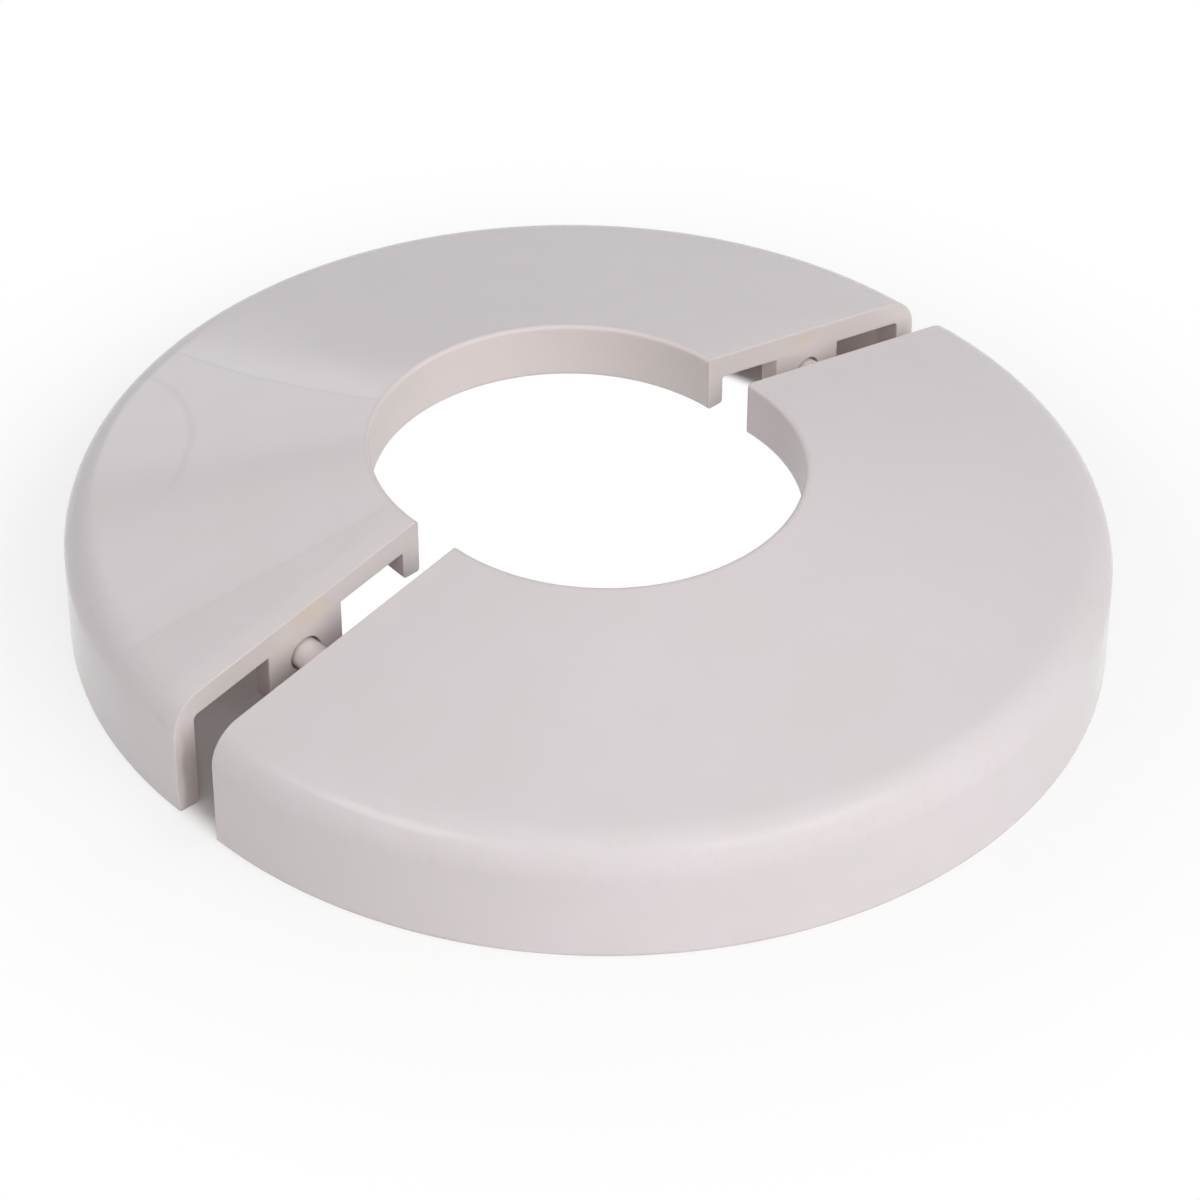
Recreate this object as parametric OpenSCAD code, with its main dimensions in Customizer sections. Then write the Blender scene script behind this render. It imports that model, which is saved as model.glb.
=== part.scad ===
// Split escutcheon for a pool ladder rail: two moulded half-round shells that close round the
// rail where it meets the deck. Two pegs on one half slide into two sockets on the other.
// X runs along the split, Y along the pegs, Z up. The cover stands on its skirt at z = 0.

/* [Rail and overall size] */
// Outside diameter of the rail that the cover closes round
rail_d = 48.3; // [42:0.1:51]
// Gap between the rail and the bore, all round
rail_clearance = 0.55; // [0.3:0.05:1.2]
// Diameter over the foot of the skirt
cover_d = 127; // [118:1:150]
// Height of the crown, at the edge of the bore
crown_h = 24; // [21:0.5:32]
// Fall of the top from the bore to the rim, in degrees
top_slope = 12; // [6:0.5:15]

/* [Shell] */
// Thickness of the sloping top
top_t = 3.2; // [2:0.1:4]
// Thickness of the skirt
skirt_t = 3.1; // [2:0.1:4]
// Lean of the skirt, for release from the mould, in degrees
skirt_draft = 0.5; // [0:0.25:2]
// Radius of the shoulder, where the top turns down into the skirt
shoulder_r = 5.3; // [3:0.1:8]
// Radius of the inside corner under the shoulder
inner_corner_r = 0.8; // [0.3:0.1:4]
// Rounding of the foot's two edges
foot_r = 0.5; // [0.2:0.1:0.8]

/* [Collar] */
// Height of the collar that lies along the rail
collar_h = 7.8; // [5:0.1:12]
// Thickness of the collar
collar_t = 2.6; // [2:0.1:4]
// Rounding of the collar's edges
collar_edge_r = 0.5; // [0.2:0.1:0.9]
// Radius of the corner between the collar and the underside of the top
collar_root_r = 0.3; // [0.2:0.1:1.5]

/* [Lugs and pegs] */
// Distance between the centres of the two pegs
peg_pitch = 85.9; // [82:0.1:90]
// Depth of a peg's centre below the underside of the top
peg_drop = 3.6; // [3.4:0.1:5]
// Diameter of a peg
peg_d = 4; // [3:0.1:5]
// Length of a peg, from the split face to its tip
peg_l = 12; // [9:0.5:16]
// Length of the taper at a peg's tip
peg_tip_l = 1.2; // [0.5:0.1:2]
// Diameter of a peg at the end of its taper
peg_tip_d = 2.8; // [1.5:0.1:2.9]
// Gap between a peg and its socket, all round
peg_clearance = 0.3; // [0.1:0.05:0.5]
// Width of a lug
lug_w = 11.5; // [9:0.1:14]
// Thickness of a lug
lug_t = 2.7; // [2:0.1:4]
// Depth of a lug's lower edge below the peg's centre
lug_below = 5.5; // [4:0.1:7]
// Rounding of a lug's lower corners
lug_corner_r = 1.5; // [0.5:0.1:3]

/* [Pose] */
// Opening between the two halves as they lie
split_gap = 7; // [0.2:0.1:8.5]

/* [Hidden] */
$fn = 128;
moulded_white = [0.85, 0.83, 0.835];

bore_r = rail_d / 2 + rail_clearance;
cover_r = cover_d / 2;
collar_foot_z = crown_h - collar_h;
fall = tan(top_slope);
lean = tan(skirt_draft);
top_drop = top_t / cos(top_slope);
peg_x = peg_pitch / 2;
peg_z = top_z(peg_x) - top_drop - peg_drop;
// How far a cut runs on past the faces that it goes through
cut_past = 1;
// Largest gap between a rounded corner's true arc and its short straight steps
arc_error = 0.01;

// Height of the sloping top at radius r
function top_z(r) = crown_h - (r - bore_r) * fall;

// Point where a skirt face that stands at radius foot_at meets a slope that lies drop below the top
function shoulder(foot_at, drop) =
    let (z = (top_z(foot_at) - drop) / (1 - lean * fall))
    [foot_at - z * lean, z];

function towards(from, to) = (to - from) / norm(to - from);

// Points of the arc of radius r that rounds a corner whose sides run to the points a and b
function rounded(corner, a, b, r) =
    let (
        da = towards(corner, a),
        db = towards(corner, b),
        half_angle = acos(da * db) / 2,
        centre = corner + towards([0, 0], da + db) * r / sin(half_angle),
        start = corner + da * r / tan(half_angle) - centre,
        turn = (180 - 2 * half_angle) * sign(cross(da, db)),
        steps = ceil(abs(turn) / (2 * acos(1 - arc_error / r)))
    )
    [for (i = [0:steps]) let (t = -turn * i / steps)
        centre + [start.x * cos(t) - start.y * sin(t), start.x * sin(t) + start.y * cos(t)]];

// Section of the shell, with X as the radius. Each corner is a point and its radius: the collar's
// foot, the crown, the shoulder, the skirt's foot, and the two inside corners under the top.
function shell_corners() =
    let (collar_out = bore_r + collar_t)
    [
        [[bore_r, collar_foot_z], collar_edge_r],
        [[bore_r, crown_h], collar_edge_r],
        [shoulder(cover_r, 0), shoulder_r],
        [[cover_r, 0], foot_r],
        [[cover_r - skirt_t, 0], foot_r],
        [shoulder(cover_r - skirt_t, top_drop), inner_corner_r],
        [[collar_out, top_z(collar_out) - top_drop], collar_root_r],
        [[collar_out, collar_foot_z], collar_edge_r]
    ];

module shell_section() {
    corners = shell_corners();
    count = len(corners);
    polygon([for (i = [0:count - 1]) each rounded(corners[i][0], corners[(i + count - 1) % count][0],
        corners[(i + 1) % count][0], corners[i][1])]);
}

// Outline of a lug, seen along the peg: a tab that hangs from inside the top, with its two lower
// corners rounded
module lug_outline() {
    inner_x = peg_x - lug_w / 2;
    outer_x = peg_x + lug_w / 2;
    low_z = peg_z - lug_below;
    inner_low = [inner_x, low_z];
    outer_low = [outer_x, low_z];
    inner_high = [inner_x, top_z(inner_x) - top_drop / 2];
    outer_high = [outer_x, top_z(outer_x) - top_drop / 2];
    polygon([
        each rounded(inner_low, inner_high, outer_low, lug_corner_r),
        each rounded(outer_low, inner_low, outer_high, lug_corner_r),
        outer_high,
        inner_high
    ]);
}

module both_sides() {
    children();
    mirror([1, 0, 0]) children();
}

// One half with its split face on y = 0 and its body at positive y
module half_shell() {
    rotate_extrude(angle = 180) shell_section();
    both_sides() translate([0, lug_t, 0]) rotate([90, 0, 0]) linear_extrude(lug_t) lug_outline();
}

// Socket through a lug
module socket() {
    translate([peg_x, lug_t + cut_past, peg_z]) rotate([90, 0, 0])
        cylinder(r = peg_d / 2 + peg_clearance, h = lug_t + 2 * cut_past);
}

// Peg that stands out of the split face, with its root inside the lug
module peg() {
    root = lug_t / 2;
    straight = peg_l - peg_tip_l;
    translate([peg_x, root, peg_z]) rotate([90, 0, 0]) {
        cylinder(d = peg_d, h = root + straight);
        translate([0, 0, root + straight]) cylinder(d1 = peg_d, d2 = peg_tip_d, h = peg_tip_l);
    }
}

// Half that takes the pegs
module socket_half() {
    color(moulded_white) translate([0, split_gap / 2, 0]) difference() {
        half_shell();
        both_sides() socket();
    }
}

// Half that carries the pegs
module peg_half() {
    color(moulded_white) translate([0, -split_gap / 2, 0]) rotate([0, 0, 180]) {
        half_shell();
        both_sides() peg();
    }
}

socket_half();
peg_half();
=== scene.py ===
# %% [markdown]
# # Split escutcheon for a pool ladder rail
#
# A pool ladder's rail goes down into an anchor in the deck, and this round cover hides the hole.
# It is moulded in two halves, because it has to go round a rail that already stands: pegs on
# one half slide into sockets on the other. The photograph shows the halves drawn part of the
# way apart, so the cut faces, the lugs and one pair of pegs can be seen.
#
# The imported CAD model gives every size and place. It is loaded first, and nothing in it moves.

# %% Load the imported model
import math

import bmesh
import bpy
from mathutils import Matrix, Vector


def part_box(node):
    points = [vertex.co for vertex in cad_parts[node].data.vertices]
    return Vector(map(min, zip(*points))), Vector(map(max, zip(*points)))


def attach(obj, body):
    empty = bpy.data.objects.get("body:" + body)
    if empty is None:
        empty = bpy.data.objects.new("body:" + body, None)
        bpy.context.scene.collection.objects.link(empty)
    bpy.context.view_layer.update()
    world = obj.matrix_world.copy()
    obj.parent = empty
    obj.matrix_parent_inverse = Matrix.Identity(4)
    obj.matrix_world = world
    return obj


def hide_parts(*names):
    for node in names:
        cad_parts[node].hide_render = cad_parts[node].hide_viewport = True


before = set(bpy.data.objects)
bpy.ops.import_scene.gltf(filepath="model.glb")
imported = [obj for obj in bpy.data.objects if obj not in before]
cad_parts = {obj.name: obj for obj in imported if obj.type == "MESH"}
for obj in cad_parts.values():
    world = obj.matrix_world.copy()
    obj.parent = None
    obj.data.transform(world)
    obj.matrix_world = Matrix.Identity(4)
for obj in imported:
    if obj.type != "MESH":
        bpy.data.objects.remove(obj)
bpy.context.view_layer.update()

scene = bpy.context.scene
MM = 0.001

# %% [markdown]
# ## The section of the shell
#
# Each half is half a turn of one section: a collar along the rail, a sloping top, a rounded
# shoulder, a skirt that stands on the deck, and the same way back inside, a wall's thickness
# away. The CAD mesh could be shown as it is, but its arcs are cut into few flat strips, and
# light slides over glossy plastic in a way that shows every one of them. So the same section
# is drawn here again, with finer arcs, and with the direction that leads out of the plastic
# kept for each point. That direction is needed later, to round the edges of the split.

# %% Sizes of the section, in millimetres
bore_r = 24.7
cover_r = 63.5
crown_h = 24.0
collar_h = 7.8
collar_t = 2.6
top_t = 3.2
skirt_t = 3.1
fall = math.tan(math.radians(12))
lean = math.tan(math.radians(0.5))
top_drop = top_t / math.cos(math.radians(12))


def top_z(radius):
    """Height of the sloping top at this radius."""
    return crown_h - (radius - bore_r) * fall


def shoulder(foot_radius, drop):
    """Where a skirt face meets a slope that lies drop below the top."""
    z = (top_z(foot_radius) - drop) / (1 - lean * fall)
    return foot_radius - z * lean, z


collar_out = bore_r + collar_t
# Every corner is (radius, height) and the size of its rounding
shell_corners = [
    ((bore_r, crown_h - collar_h), 0.5),
    ((bore_r, crown_h), 0.5),
    (shoulder(cover_r, 0), 5.3),
    ((cover_r, 0), 0.5),
    ((cover_r - skirt_t, 0), 0.5),
    (shoulder(cover_r - skirt_t, top_drop), 0.8),
    ((collar_out, top_z(collar_out) - top_drop), 0.3),
    ((collar_out, crown_h - collar_h), 0.5),
]
print("shoulder corner at radius %.2f, height %.2f mm" % shell_corners[2][0])

# %% Round a closed outline and keep its outward directions
def unit(from_point, to_point):
    gap = Vector(to_point) - Vector(from_point)
    return gap.normalized()


def arc_points(corner, before, after, radius, steps):
    """The arc that rounds one corner, as (point, outward direction)."""
    to_before, to_after = unit(corner, before), unit(corner, after)
    half = to_before.angle(to_after) / 2
    middle = (to_before + to_after).normalized()
    centre = Vector(corner) + middle * (radius / math.sin(half))
    start = Vector(corner) + to_before * (radius / math.tan(half)) - centre
    hollow = 1 if to_before.x * to_after.y - to_before.y * to_after.x > 0 else -1
    turn = hollow * -(math.pi - 2 * half)
    made = []
    for i in range(steps + 1):
        spoke = Matrix.Rotation(turn * i / steps, 2) @ start
        made.append((centre + spoke, spoke.normalized() * hollow))
    return made


def rounded_outline(corners, spacing, tight=0.3):
    """A closed outline that runs clockwise, with its corners rounded and its sides divided."""
    arcs = []
    for i, (corner, radius) in enumerate(corners):
        before = corners[i - 1][0]
        after = corners[(i + 1) % len(corners)][0]
        steps = max(5, round(4 * math.sqrt(radius)) + 4)
        arcs.append(arc_points(corner, before, after, radius, steps))
    outline = []
    for i, arc in enumerate(arcs):
        outline += arc
        end, start = arc[-1][0], arcs[(i + 1) % len(arcs)][0][0]
        length = (start - end).length
        if length < 2 * tight:
            continue
        parts = max(1, math.ceil((length - 2 * tight) / spacing))
        along = [tight + (length - 2 * tight) * k / parts for k in range(parts + 1)]
        out = Vector((end.y - start.y, start.x - end.x)) / length
        outline += [(end.lerp(start, a / length), out) for a in along]
    return outline


section = rounded_outline(shell_corners, spacing=2.0)
print(len(section), "points in the section")

# %% [markdown]
# ## Turn the section into half a shell
#
# A Screw modifier could turn the section, but it would leave the split faces as sharp as
# paper. On the real moulding they have a small soft edge, which catches the light as a thin
# line. So the rings are placed one by one. The first few lie at the split face itself: each
# is drawn in a little less than the one before, along a quarter of a small circle, and that
# makes the soft edge. All the other rings are turned round the rail's axis.

# %% Rings to a closed mesh
def soft_edge(radius, steps=5):
    """How deep each ring of a soft edge lies, and how far it is drawn in."""
    angles = [math.pi / 2 * i / steps for i in range(steps + 1)]
    return [(radius * (1 - math.cos(a)), radius * (1 - math.sin(a))) for a in angles]


split_edge = soft_edge(0.12)


def skin(name, rings, closed=True):
    """A mesh through rings of points, with a flat face over the first and the last."""
    mesh = bmesh.new()
    rows = [[mesh.verts.new([c * MM for c in point]) for point in ring] for ring in rings]
    for low, high in zip(rows, rows[1:]):
        for i in range(len(low)):
            j = (i + 1) % len(low)
            mesh.faces.new((low[i], low[j], high[j], high[i]))
    if closed:
        mesh.faces.new(rows[0])
        mesh.faces.new(rows[-1])
    bmesh.ops.recalc_face_normals(mesh, faces=mesh.faces)
    data = bpy.data.meshes.new(name)
    mesh.to_mesh(data)
    mesh.free()
    piece = bpy.data.objects.new(name, data)
    scene.collection.objects.link(piece)
    return piece


def split_ring(depth, inset, side):
    """The section at a small depth behind the split face, on the side where X is side."""
    ring = []
    for point, out in section:
        radius, z = point - out * inset
        ring.append((side * math.sqrt(radius * radius - depth * depth), depth, z))
    return ring


def turned_ring(angle):
    return [(p.x * math.cos(angle), p.x * math.sin(angle), p.y) for p, _ in section]


def half_shell(name):
    """Half a turn of the section, with its split face on Y = 0 and its body at positive Y."""
    turns = 180
    first = math.radians(1.5)
    angles = [first + (math.pi - 2 * first) * i / turns for i in range(turns + 1)]
    rings = [split_ring(depth, inset, 1) for depth, inset in split_edge]
    rings += [turned_ring(a) for a in angles]
    rings += [split_ring(depth, inset, -1) for depth, inset in reversed(split_edge)]
    return skin(name, rings)


# %% [markdown]
# ## Lugs, sockets and pegs
#
# Two lugs hang under the top at each split face, flush with it. On the real part they are
# moulded in one with the shell, so here they are separate solids that a Boolean modifier
# joins to it. A lug is an outline pushed back along Y, with the same soft edge at its front
# and back. The sockets are cut by a turned plug whose radius grows at the faces of the lug:
# that leaves the small rounding that a moulded hole has at its mouth. The pegs are turned
# too, with a slight taper at the tip that leads them into the sockets.

# %% Sizes of the lugs and pegs, in millimetres
peg_x = 85.9 / 2
peg_z = top_z(peg_x) - top_drop - 3.6
peg_r = 2.0
peg_l = 12.0
peg_tip_l = 1.2
peg_tip_r = 1.4
peg_clearance = 0.3
lug_w = 11.5
lug_t = 2.7
lug_below = 5.5
lug_corner_r = 1.5
lug_edge_r = 0.2
mouth_r = 0.15
print("peg axis at x = +/-%.2f, z = %.2f mm" % (peg_x, peg_z))

# %% One lug
def lug_section():
    """A tab with rounded lower corners that ends inside the top, as (point, outward direction)."""
    inner, outer = peg_x - lug_w / 2, peg_x + lug_w / 2
    low = peg_z - lug_below
    inner_high = (inner, top_z(inner) - top_drop / 2)
    outer_high = (outer, top_z(outer) - top_drop / 2)
    outline = arc_points((outer, low), outer_high, (inner, low), lug_corner_r, 10)
    outline += arc_points((inner, low), (outer, low), inner_high, lug_corner_r, 10)
    return outline + [(Vector(inner_high), Vector((-1, 0))), (Vector(outer_high), Vector((1, 0)))]


def lug(name, side):
    edge = soft_edge(lug_edge_r)
    depths = edge + [(lug_t - depth, inset) for depth, inset in reversed(edge)]
    rings = []
    for depth, inset in depths:
        ring = [point - out * inset for point, out in lug_section()]
        rings.append([(side * p.x, depth, p.y) for p in ring])
    return skin(name, rings)


# %% Turned plug and peg
def turned(name, stations, side):
    """A body turned round the peg's axis through (distance along Y, radius) stations."""
    around = 96
    rings = []
    for y, radius in stations:
        ring = []
        for i in range(around):
            a = 2 * math.pi * i / around
            ring.append((side * peg_x + radius * math.cos(a), y, peg_z + radius * math.sin(a)))
        rings.append(ring)
    return skin(name, rings)


def flare(radius, rounding, steps=6):
    """Radii that grow from radius to radius + rounding over a depth of rounding."""
    made = []
    for i in range(steps + 1):
        a = math.pi / 2 * i / steps
        made.append((rounding * (1 - math.sin(a)), radius + rounding * (1 - math.cos(a))))
    return made


def socket_plug(name, side):
    mouth = flare(peg_r + peg_clearance, mouth_r)
    stations = [(lug_t + 1, mouth[-1][1])] + [(lug_t - d, r) for d, r in reversed(mouth)]
    stations += mouth + [(-1, mouth[-1][1])]
    return turned(name, stations, side)


def peg(name, side):
    root = flare(peg_r, mouth_r)
    straight = peg_l - peg_tip_l
    tip = [((-straight, peg_r), 0.5), ((-peg_l, peg_tip_r), 0.5)]
    stations = [(lug_t / 2, root[-1][1])] + [(-d, r) for d, r in reversed(root)]
    ends = [(-mouth_r, peg_r), (-peg_l, 0)]
    for i, (corner, radius) in enumerate(tip):
        before = ends[0] if i == 0 else tip[0][0]
        after = tip[1][0] if i == 0 else ends[1]
        stations += [(p.x, p.y) for p, _ in arc_points(corner, before, after, radius, 6)]
    return turned(name, stations, side)


# %% [markdown]
# ## Join each half into one moulding
#
# The Boolean modifiers do their work here and are applied, so the mesh is one
# closed skin with nothing hidden inside it. A Weighted Normal modifier stays on: it lets the
# large faces decide the shading, so that the flat faces look flat right up to their soft
# edges.

# %% Boolean join and shading
def combine(piece, others, operation):
    """Joins or cuts piece with the others, and removes them."""
    for other in others:
        step = piece.modifiers.new("step", "BOOLEAN")
        step.operation = operation
        step.solver = "EXACT"
        step.object = other
    graph = bpy.context.evaluated_depsgraph_get()
    data = bpy.data.meshes.new_from_object(piece.evaluated_get(graph))
    piece.modifiers.clear()
    old, piece.data = piece.data, data
    bpy.data.meshes.remove(old)
    for other in others:
        bpy.data.objects.remove(other)


def finish_mesh(piece, place):
    """Puts the mesh in its place, and shades it smooth but for its real corners."""
    piece.data.transform(place)
    piece.data.shade_smooth()
    piece.data.set_sharp_from_angle(angle=math.radians(35))
    weigh = piece.modifiers.new("flat faces stay flat", "WEIGHTED_NORMAL")
    weigh.keep_sharp = True
    weigh.weight = 60
    check = bmesh.new()
    check.from_mesh(piece.data)
    open_edges = sum(not edge.is_manifold for edge in check.edges)
    volume = check.calc_volume() / MM**3
    check.free()
    print(piece.name, len(piece.data.polygons), "faces,", open_edges, "open edges, %.0f mm3" % volume)


half_gap = 3.5
# The fine arcs here bulge a hair past the flat strips of the CAD mesh, so each half is shrunk
# by 0.02 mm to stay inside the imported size
snug = Matrix.Scale(0.9996, 4)

socket_half = half_shell("socket_half_moulding")
combine(socket_half, [lug("lug_a", 1), lug("lug_b", -1)], "UNION")
combine(socket_half, [socket_plug("plug_a", 1), socket_plug("plug_b", -1)], "DIFFERENCE")
finish_mesh(socket_half, Matrix.Translation((0, half_gap * MM, 0)) @ snug)

peg_half = half_shell("peg_half_moulding")
combine(peg_half, [lug("lug_c", 1), lug("lug_d", -1)], "UNION")
combine(peg_half, [peg("peg_a", 1), peg("peg_b", -1)], "UNION")
turn_round = Matrix.Rotation(math.pi, 4, "Z")
finish_mesh(peg_half, Matrix.Translation((0, -half_gap * MM, 0)) @ turn_round @ snug)

# %% Each moulding takes the place of its CAD node
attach(socket_half, "socket_body")
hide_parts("socket_half")
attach(peg_half, "peg_body")
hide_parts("peg_half")
for piece, node in ((socket_half, "socket_half"), (peg_half, "peg_half")):
    low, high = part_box(node)
    mine = [Vector(c) for c in piece.bound_box]
    print(node, "CAD", [round(v / MM, 2) for v in (*low, *high)])
    print(node, "here", [round(v / MM, 2) for v in (*mine[0], *mine[6])])

# %% [markdown]
# ## A small helper for shader maths
#
# Node trees get long when every sum is added by hand. This class wraps an output socket, so
# that a sum of two wires is written as a sum. All other nodes come from one method that takes
# the kind of node, its settings and what goes into its sockets.

# %% Wires and nodes
class Wire:
    """An output socket. Arithmetic on wires and numbers adds Math nodes."""

    def __init__(self, tree, socket):
        self.tree, self.socket = tree, socket

    def maths(self, operation, *values):
        return self.node("ShaderNodeMath", {"operation": operation}, dict(enumerate(values)))

    def __add__(self, other):
        return self.maths("ADD", self, other)

    def __sub__(self, other):
        return self.maths("SUBTRACT", self, other)

    def __rsub__(self, other):
        return self.maths("SUBTRACT", other, self)

    def __mul__(self, other):
        return self.maths("MULTIPLY", self, other)

    def __truediv__(self, other):
        return self.maths("DIVIDE", self, other)

    def __abs__(self):
        return self.maths("ABSOLUTE", self)

    __radd__ = __add__
    __rmul__ = __mul__

    def root(self):
        return self.maths("SQRT", self)

    def larger(self, other):
        return self.maths("MAXIMUM", self, other)

    def rise(self, start, end):
        """0 below start, 1 above end, and an easy curve between them."""
        return self.node("ShaderNodeMapRange", {"interpolation_type": "SMOOTHSTEP"},
                         {"Value": self, "From Min": start, "From Max": end})

    def fade(self, start, end):
        """1 below start, 0 above end, and an easy curve between them."""
        return 1 - self.rise(start, end)

    def node(self, kind, settings=None, inputs=None, output=0):
        """Adds any node to the same tree: settings first, then the values or links."""
        return add_node(self.tree, kind, settings, inputs, output)


def add_node(tree, kind, settings=None, inputs=None, output=0):
    node = tree.nodes.new(kind)
    for name, value in (settings or {}).items():
        setattr(node, name, value)
    for name, value in (inputs or {}).items():
        if isinstance(value, Wire):
            tree.links.new(value.socket, node.inputs[name])
        else:
            node.inputs[name].default_value = value
    return Wire(tree, node.outputs[output]) if len(node.outputs) else None


def colour(red, green, blue):
    """A colour as picked from a screen, 0 to 255, in the linear values that shaders use."""
    linear = [((c / 255 + 0.055) / 1.055) ** 2.4 for c in (red, green, blue)]
    return (*linear, 1.0)


print("mid grey as a shader takes it: %.3f %.3f %.3f" % colour(128, 128, 128)[:3])

# %% [markdown]
# ## The plastic
#
# The cover is moulded in an off-white plastic, slightly pink and grey, with a gloss that still
# mirrors the panels round it. A plain colour would look like paint: on the real moulding the
# colour drifts a little where the plastic flowed, the surface has a very fine orange peel and
# shallow sink waves, and handling has left duller and glossier patches. Light also goes a
# little way into white plastic, so the shader lets some of it pass under the surface.
#
# An image texture could hold all this, but it would blur and could not be changed by hand. So
# everything is placed by where a point lies on the part, in metres from the rail's axis and
# from the split, and it follows each half when the halves slide.

# %% Where a point lies on its half
class Spot:
    """The place of a shaded point, seen as a moulder would give it, and what varies with it."""

    def __init__(self, tree):
        self.place = add_node(tree, "ShaderNodeTexCoord", output=3)
        self.x, self.y, self.z = (
            self.place.node("ShaderNodeSeparateXYZ", None, {0: self.place}, output=i) for i in range(3))
        # Behind the split face (below zero on the pegs), from the rail's axis, under the top
        self.behind = abs(self.y) - half_gap * MM
        self.radius = (self.x * self.x + self.behind * self.behind).root()
        self.depth = (crown_h + bore_r * fall) * MM - self.radius * fall - self.z
        self.drift = self.noise(28, 3)
        self.cloud = self.noise(110, 2)

    def noise(self, scale, detail, stretch=(1, 1, 1)):
        """Noise around 0, with its largest shapes 1 / scale metres across."""
        spot = self.place.node("ShaderNodeVectorMath", {"operation": "MULTIPLY"},
                               {0: self.place, 1: stretch})
        return spot.node("ShaderNodeTexNoise", None,
                         {"Vector": spot, "Scale": scale, "Detail": detail}) - 0.5

    def blend(self, amount, first, second):
        """The first colour where amount is 0 and the second where it is 1."""
        return self.place.node("ShaderNodeMix", {"data_type": "RGBA"},
                               {0: amount, 6: first, 7: second}, output=2)


print("split face %.1f mm from the middle, bore %.1f mm in radius" % (half_gap, bore_r))

# %% [markdown]
# ## Zones of the moulding, some with painted light and shade
#
# Some zones never touched a polished mould wall. The cut faces are drier and creamier, and
# paler towards +X, with a yellow patch above each lug where the plastic flowed in.
# The hollow inside is matt, and its paler, warmer colour is painted light that lifts the shaded
# interior. The outer flanks of the lugs are darkened with painted shade. The wall of the bore is a
# little paler and warmer, partly its own tone and partly painted light. The pegs are painted paler
# than the body, as painted light on them in the sockets. Low on the skirt the cut face is darkened
# with painted shade from the narrow gap, but for a paler line at its outer edge.

# %% Colours by zone
skin_low, skin_high = colour(213, 206, 207), colour(215, 208, 211)
cream_low, cream_high = colour(217, 209, 209), colour(219, 211, 207)
# A paler cream that the cut faces take on towards +X
east_paler_cream = colour(223, 215, 212)
# Painted shade for the outer flanks of the lugs, which lie in the shadow of the gap
flank_painted_shade = colour(150, 140, 138)


def zone_masks(spot):
    """How far a point belongs to each zone, 0 to 1."""
    zones = {}
    zones["cut"] = spot.behind.rise(-0.2 * MM, -0.05 * MM) * spot.behind.fade(0.1 * MM, 0.35 * MM)
    zones["near cut"] = (spot.behind + 0.012 * spot.drift).fade(0, 3.5 * MM)
    zones["bore"] = spot.radius.fade((bore_r + 0.15) * MM, (bore_r + 0.5) * MM)
    # hollow: a paler warm colour inside, painted light that lifts the shaded interior
    zones["hollow"] = (spot.depth.rise(1.8 * MM, 3.0 * MM) * spot.radius.fade(61 * MM, 62.5 * MM)
                       * spot.radius.rise(25.5 * MM, 26.5 * MM) * spot.behind.rise(-0.2 * MM, -0.05 * MM))
    # flank: where painted shade darkens the outer sides of the lugs
    zones["flank"] = (zones["hollow"] * abs(spot.x).rise(48.2 * MM, 48.5 * MM)
                      * spot.behind.rise(0.1 * MM, 0.3 * MM) * spot.behind.fade(2.8 * MM, 4 * MM))
    zones["peg"] = spot.behind.fade(-0.3 * MM, -0.1 * MM)
    # Painted shade on the cut face low on the skirt, in the narrow gap, all but its lit outer edge
    zones["low cut"] = (zones["cut"] * spot.z.fade(7 * MM, 14 * MM) * spot.radius.rise(58 * MM, 60 * MM)
                        * (spot.radius + 0.003 * spot.cloud).fade(61.9 * MM, 62.9 * MM))
    east = abs(spot.x) - 42.3 * MM
    up = (spot.z - 19.4 * MM) * 2
    zones["patch"] = zones["cut"] * ((east * east + up * up).root()
                                     + 0.006 * spot.cloud).fade(1.5 * MM, 4.5 * MM)
    return zones


def zone_colour(spot, zones):
    skin = spot.blend((spot.drift + 0.5 * spot.cloud).rise(-0.25, 0.25), skin_low, skin_high)
    cream = spot.blend(spot.cloud.rise(-0.15, 0.2), cream_low, cream_high)
    # The cream turns paler from X = 0 to X = 20 mm
    cream = spot.blend(spot.x.rise(0, 20 * MM), cream, east_paler_cream)
    # The paler bore wall is partly its own warmer tone and partly painted light
    wall = spot.blend(spot.y.rise(-MM, MM), colour(232, 222, 225), colour(228, 219, 216))
    body = spot.blend(0.9 * zones["bore"], skin, wall)
    body = spot.blend(0.25 * zones["near cut"], body, cream)
    # Painted light: the paler colour brightens the shaded hollow
    body = spot.blend(0.85 * zones["hollow"], body, colour(229, 213, 211))
    # Painted shade on the outer flanks of the lugs
    body = spot.blend(0.4 * zones["flank"], body, flank_painted_shade)
    body = spot.blend(0.85 * zones["cut"], body, cream)
    # Painted light: the pegs are made paler than the body, though they sit in the shade of the sockets
    body = spot.blend(zones["peg"], body, colour(236, 227, 226))
    # Painted shade low on the skirt's cut face
    body = spot.blend(0.45 * zones["low cut"], body, colour(150, 139, 137))
    return spot.blend(0.6 * zones["patch"], body, colour(221, 208, 190))


print("skin from", [round(c, 3) for c in skin_low[:3]], "to", [round(c, 3) for c in skin_high[:3]])

# %% [markdown]
# ## Painted reflections on the far half
#
# The far half's top mirrors the studio, and the edges of those reflections show as three faint
# lines. They are painted reflections in the colour: two nearly straight lines that run out from
# the bore, and part of a circle with just the bore's radius, with a paler field by the first line
# and a darker strip by the cut. Each is drawn by its distance in millimetres, so it stays sharp at any
# size.

# %% Painted reflection lines and fields
first_line_slope, cut_line_slope = 0.155, 0.22
arc_line_centre = (-48.3, 54.2)


def hair_line(off_line, soft):
    """A soft line, where off_line is the distance from it and soft its half width, in mm."""
    return abs(off_line).fade(0, soft)


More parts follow.
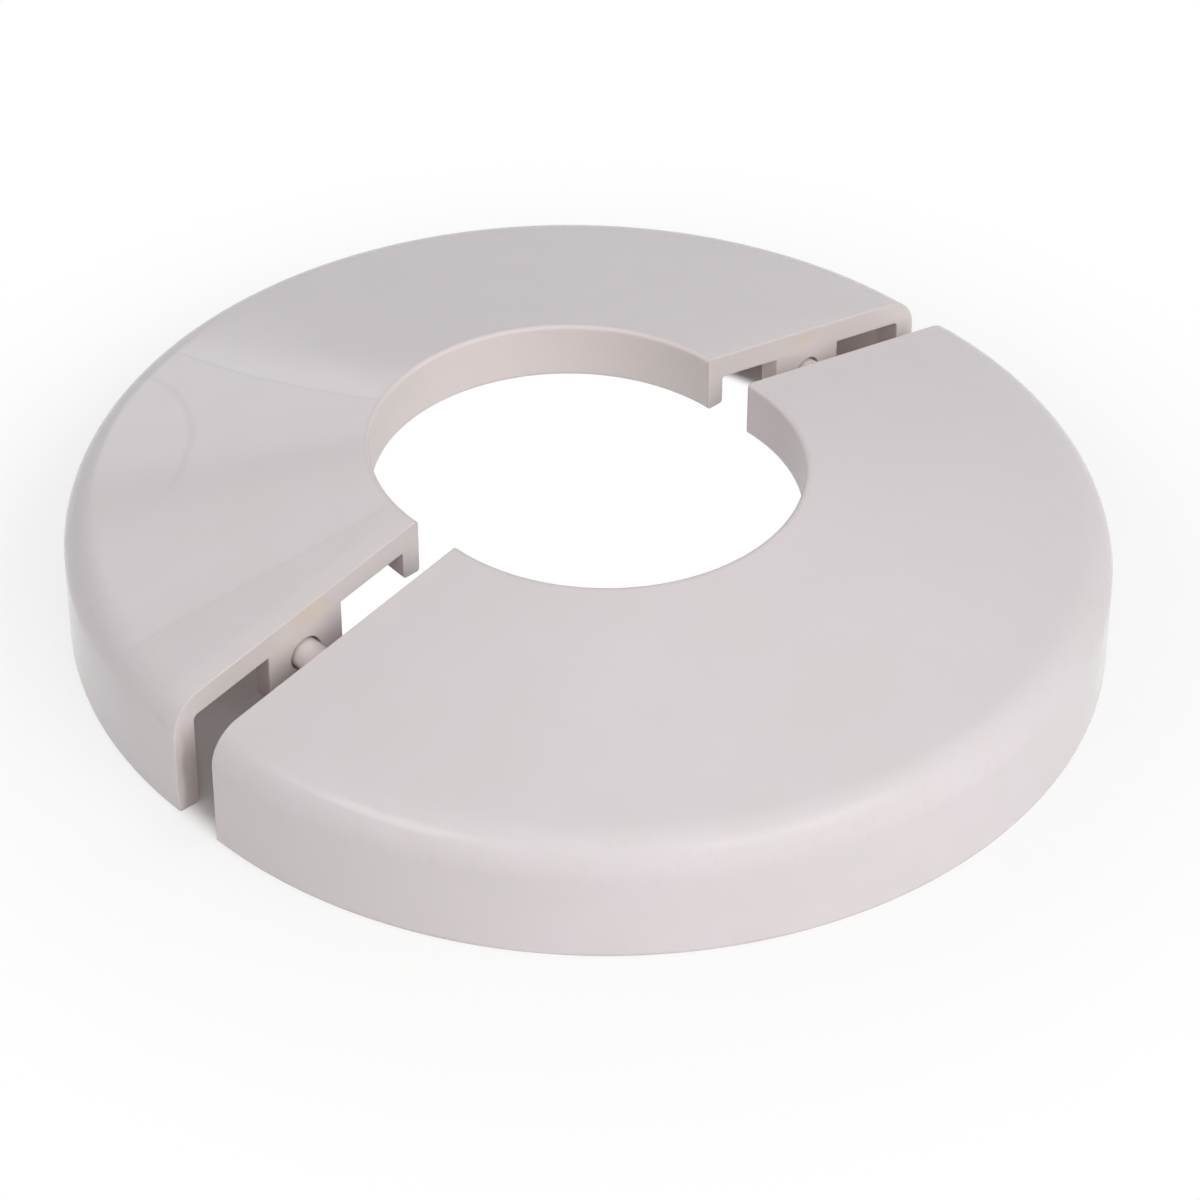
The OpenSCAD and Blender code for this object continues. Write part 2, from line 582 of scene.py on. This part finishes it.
def far_top_reflection_masks(spot):
    """Masks for the painted reflection lines, the painted pale reflection by the first line and the
    painted dark strip by the cut.
    """
    east = spot.x / MM
    north = spot.y / MM - half_gap
    waver = 8 * spot.drift
    far_top = north.rise(2, 4) * spot.depth.fade(0.5 * MM, 1.0 * MM)

    bow = 0.004 * (north - 25) * (58 - north)
    off_first_line = east + first_line_slope * north + 8.5 + bow + 0.3 * waver
    behind_bore = north.rise(20, 26) * north.fade(54, 60)
    by_cut = north + cut_line_slope * east + 0.9 + 0.1 * waver
    arc_east, arc_north = east - arc_line_centre[0], north - arc_line_centre[1]
    off_arc_line = (arc_east * arc_east + arc_north * arc_north).root() - bore_r + 0.5 * waver

    lines = hair_line(off_first_line, 0.6) * behind_bore
    lines = lines.larger(0.7 * hair_line(by_cut, 0.6) * east.fade(-26, -24))
    lines = lines.larger(hair_line(off_arc_line, 0.9) * east.rise(-44, -33))
    pale = off_first_line.rise(-0.1, 0.2) * (off_first_line / (north - 16)).fade(0.15, 0.5) * behind_bore
    strip = by_cut.fade(-0.3, 0.1) * east.fade(-30, -22)
    return lines * far_top, pale * far_top, strip * far_top


def paint_far_top_reflections(spot, body):
    lines, pale, strip = far_top_reflection_masks(spot)
    # Painted reflection: thin darker lines where the mirrored panels break
    body = spot.blend(0.12 * lines, body, colour(170, 160, 158))
    # Painted reflection: a paler field by the first line
    body = spot.blend(0.35 * pale, body, colour(226, 219, 221))
    # Painted reflection: a darker strip along the cut
    return spot.blend(0.06 * strip, body, colour(170, 160, 158))


print("the rub line's centre is %.1f mm from the rail's axis" % math.hypot(*arc_line_centre))

# %% [markdown]
# ## Wear and painted edge shade
#
# Edges take the knocks: the rail has rubbed the crown's edge dull, and the crown, the shoulder
# and the foot have fine scuffs. The crown's edge and the soft edge of the split are also darkened
# with painted shade, which tones down the highlights they catch. The line along the foot is grime
# from the deck together with a painted contact shadow. A mask by curvature (Pointiness) would find
# the edges too, but it changes with the mesh, so the edges are found by radius and height.

# %% Scuffs, grime and painted edge shade
def wear_and_shade_masks(spot):
    crown = (spot.radius + 2 * abs(spot.depth)).fade(24.95 * MM, 25.7 * MM)
    shoulder_edge = spot.radius.rise(59.5 * MM, 61.5 * MM) * spot.z.rise(9 * MM, 12 * MM)
    # The foot line is grime and a painted contact shadow along the floor
    foot = (spot.z + 0.0006 * spot.cloud).fade(0.2 * MM, 0.7 * MM)
    edges = crown.larger(0.7 * shoulder_edge).larger(foot)
    scuff = edges * spot.noise(700, 5, (1, 1, 0.5)).rise(0.05, 0.2)
    # Painted shade on the soft edge of the split, to tone down the bright line it catches
    split_rim_shade = spot.behind.rise(0.01 * MM, 0.04 * MM) * spot.behind.fade(0.12 * MM, 0.3 * MM)
    return crown, foot, scuff, split_rim_shade


def wear_and_shade_colour(spot, body, crown, foot, scuff, split_rim_shade):
    # Painted shade on the split's soft edge
    body = spot.blend(0.3 * split_rim_shade, body, colour(182, 172, 168))
    body = spot.blend(0.1 * scuff, body, colour(190, 180, 176))
    # Grime and painted contact shadow along the foot
    body = spot.blend(0.35 * foot, body, colour(176, 166, 162))
    # Painted shade on the crown's edge tones down its highlight; its higher roughness is the real rub
    return spot.blend(0.4 * crown, body, colour(192, 181, 175))


print("shoulder scuffs from radius 59.5 mm out, grime up to 0.7 mm high")

# %% [markdown]
# ## The finished plastic
#
# Now the zones with their painted light and shade, the painted reflections on the far top, and
# the wear with its painted edge shade come together. The gloss is broken by handling marks that
# are longer than wide, the way a cloth wipes. The bump holds only what is too fine to model: the
# orange peel, the sink waves and a slight unevenness, all well under a tenth of a millimetre.

# %% Moulded white plastic
def moulded_plastic():
    material = bpy.data.materials.new("moulded_white")
    material.use_nodes = True
    tree = material.node_tree
    tree.nodes.clear()
    spot = Spot(tree)
    zones = zone_masks(spot)
    crown, foot, scuff, split_rim_shade = wear_and_shade_masks(spot)
    body = paint_far_top_reflections(spot, zone_colour(spot, zones))
    body = wear_and_shade_colour(spot, body, crown, foot, scuff, split_rim_shade)

    handling = spot.noise(45, 4, (1, 2.2, 1))
    rough = 0.13 + 0.06 * handling + 0.04 * spot.cloud + 0.2 * zones["cut"] + 0.12 * scuff
    rough = rough + 0.25 * zones["hollow"] + 0.25 * zones["bore"] + 0.2 * crown

    peel, sink = spot.noise(900, 1), spot.noise(60, 1, (1, 1, 0.5))
    height = 0.010 * peel + 0.25 * sink + 0.05 * spot.cloud
    bump = spot.place.node("ShaderNodeBump", None,
                           {"Strength": 0.25, "Distance": MM, "Height": height})
    shader = spot.place.node("ShaderNodeBsdfPrincipled", None, {
        "Base Color": body, "Roughness": rough, "IOR": 1.5, "Normal": bump,
        "Subsurface Weight": 0.25, "Subsurface Radius": (1, 0.82, 0.72),
        "Subsurface Scale": 2 * MM})
    spot.place.node("ShaderNodeOutputMaterial", None, {"Surface": shader})
    return material


plastic = moulded_plastic()
for piece in (socket_half, peg_half):
    piece.data.materials.clear()
    piece.data.materials.append(plastic)
print(len(plastic.node_tree.nodes), "nodes in the plastic")

# %% [markdown]
# ## The floor
#
# The photograph was cut out on pure white, so the floor has to look white and still hold a
# soft contact shadow. A white surface that is lit never comes out as an even white. So the
# floor is two materials in one: a pale one that catches light and shadow, and an even white
# glow that only the camera and reflections see. The glow takes over away from the part, and
# inside the bore, where the photograph is white too.

# %% Floor
def seen_directly(tree):
    """1 for the camera and for what shows in gloss or through glass, 0 for the light on things."""
    rays = ("Is Camera Ray", "Is Glossy Ray", "Is Transmission Ray")
    camera, gloss, clear = (add_node(tree, "ShaderNodeLightPath", output=name) for name in rays)
    return camera + gloss + clear


def floor_material():
    material = bpy.data.materials.new("pale floor")
    material.use_nodes = True
    tree = material.node_tree
    tree.nodes.clear()
    place = add_node(tree, "ShaderNodeTexCoord", output=3)

    def distance_from(x, y):
        """Distance over the floor from the point at x, y, in metres."""
        flat = place.node("ShaderNodeVectorMath", {"operation": "MULTIPLY_ADD"},
                          {0: place, 1: (1, 1, 0), 2: (-x * MM, -y * MM, 0)})
        return flat.node("ShaderNodeVectorMath", {"operation": "LENGTH"}, {0: flat}, output=1)

    out = distance_from(0, 0)
    through_bore = distance_from(8, 12).fade(0.0408, 0.0434)
    outside = out.rise(0.0605, 0.0645) * (0.74 + 0.26 * out.rise(0.063, 0.11))
    white = through_bore.larger(outside)
    direct = seen_directly(tree)
    lit = place.node("ShaderNodeBsdfDiffuse", None, {"Color": colour(240, 238, 236)})
    glow = place.node("ShaderNodeEmission", None, {"Color": (1, 1, 1, 1), "Strength": 1.0})
    mixed = place.node("ShaderNodeMixShader", None, {0: direct * white, 1: lit, 2: glow})
    place.node("ShaderNodeOutputMaterial", None, {"Surface": mixed})
    return material


def disc(name, radius, parts):
    mesh = bmesh.new()
    bmesh.ops.create_circle(mesh, cap_ends=True, radius=radius, segments=parts)
    data = bpy.data.meshes.new(name)
    mesh.to_mesh(data)
    mesh.free()
    made = bpy.data.objects.new(name, data)
    scene.collection.objects.link(made)
    return made


floor = disc("floor", 3.0, 96)
floor.data.materials.append(floor_material())
print("floor %.0f m across" % floor.dimensions.x)

# %% [markdown]
# ## The light
#
# The sky is white to the camera and in reflections, but gives no light of its own: all the
# light comes from soft panels, so that their levels can be set one by one. The strongest
# stand behind the camera and to its right, because the skirt is brightest there in the
# photograph. Weaker ones at the back lift the far half. A large panel that shows in glossy
# plastic would lay a wide band over the shoulder, so the large ones are hidden from
# reflections. Five weak ones are left to be seen: three make the streaks on the near shoulder,
# and two dim ones make the soft pale fields on the far half's top.

# %% World
world = bpy.data.worlds.new("studio")
world.use_nodes = True
scene.world = world
tree = world.node_tree
tree.nodes.clear()
seen = seen_directly(tree)
sky = seen.node("ShaderNodeBackground", None, {"Color": (1, 1, 1, 1), "Strength": seen})
seen.node("ShaderNodeOutputWorld", None, {"Surface": sky})
print("sky:", len(tree.nodes), "nodes")

# %% Soft lights
def direction(azimuth, elevation):
    """Azimuth is measured from +Y towards +X, as on a compass."""
    a, e = math.radians(azimuth), math.radians(elevation)
    return Vector((math.sin(a) * math.cos(e), math.cos(a) * math.cos(e), math.sin(e)))


def softbox(name, azimuth, elevation, size, watts, roll=0, shows_in_gloss=False):
    """A soft panel 1.2 m from the part. A panel that shows in gloss also leaves a reflection."""
    data = bpy.data.lights.new(name, "AREA")
    data.shape = "RECTANGLE"
    data.size, data.size_y = size
    data.energy = watts
    made = bpy.data.objects.new(name, data)
    towards = direction(azimuth, elevation)
    made.location = towards * 1.2
    turn = Matrix.Rotation(math.radians(roll), 4, "Z").to_quaternion()
    made.rotation_euler = (towards.to_track_quat("Z", "Y") @ turn).to_euler()
    made.visible_glossy = shows_in_gloss
    scene.collection.objects.link(made)
    return made


softbox("key", 180, 36, (0.7, 0.7), 5.6)
softbox("key's left side", -144, 40, (0.7, 0.7), 5.35)
softbox("right panel", 144, 42, (0.7, 0.7), 2.75)
softbox("back left panel", -36, 36, (0.7, 0.7), 2.35)
softbox("top panel", 30, 60, (0.7, 0.7), 2.15)
softbox("left streak", -88, 41, (0.5, 0.4), 1.1, shows_in_gloss=True)
softbox("left streak's faint ends", -88, 41, (1.2, 0.35), 0.85, shows_in_gloss=True)
softbox("right streak", 178, 39, (0.85, 0.4), 1.05, shows_in_gloss=True)
softbox("low back reflection", 21.5, 23.4, (0.37, 0.285), 0.24, roll=-28, shows_in_gloss=True)
softbox("high back reflection", 15.7, 39.3, (0.42, 0.22), 0.115, roll=-28, shows_in_gloss=True)
panels = [light for light in scene.objects if light.type == "LIGHT"]
print(len(panels), "panels, %.1f W in all" % sum(light.data.energy for light in panels))

# %% [markdown]
# ## The camera
#
# Its place, aim, roll and lens come from a fit to the rim, the foot, the bore and the split
# faces in the photograph: it stands 38 degrees up, in front and to the left of the split.

# %% Camera
camera_data = bpy.data.cameras.new("camera")
camera = bpy.data.objects.new("camera", camera_data)
scene.collection.objects.link(camera)
camera.location = Vector((-277.28, -297.19, 321.46)) * MM
target = Vector((-7.18, -10.12, 10.0)) * MM
look = (target - camera.location).to_track_quat("-Z", "Y")
camera.rotation_euler = (look @ Matrix.Rotation(math.radians(0.124), 4, "Z").to_quaternion()).to_euler()
camera_data.sensor_width = 36
camera_data.lens = 121.657
scene.camera = camera

scene.view_settings.view_transform = "Standard"
print("camera %.0f mm from its aim" % ((target - camera.location).length / MM))
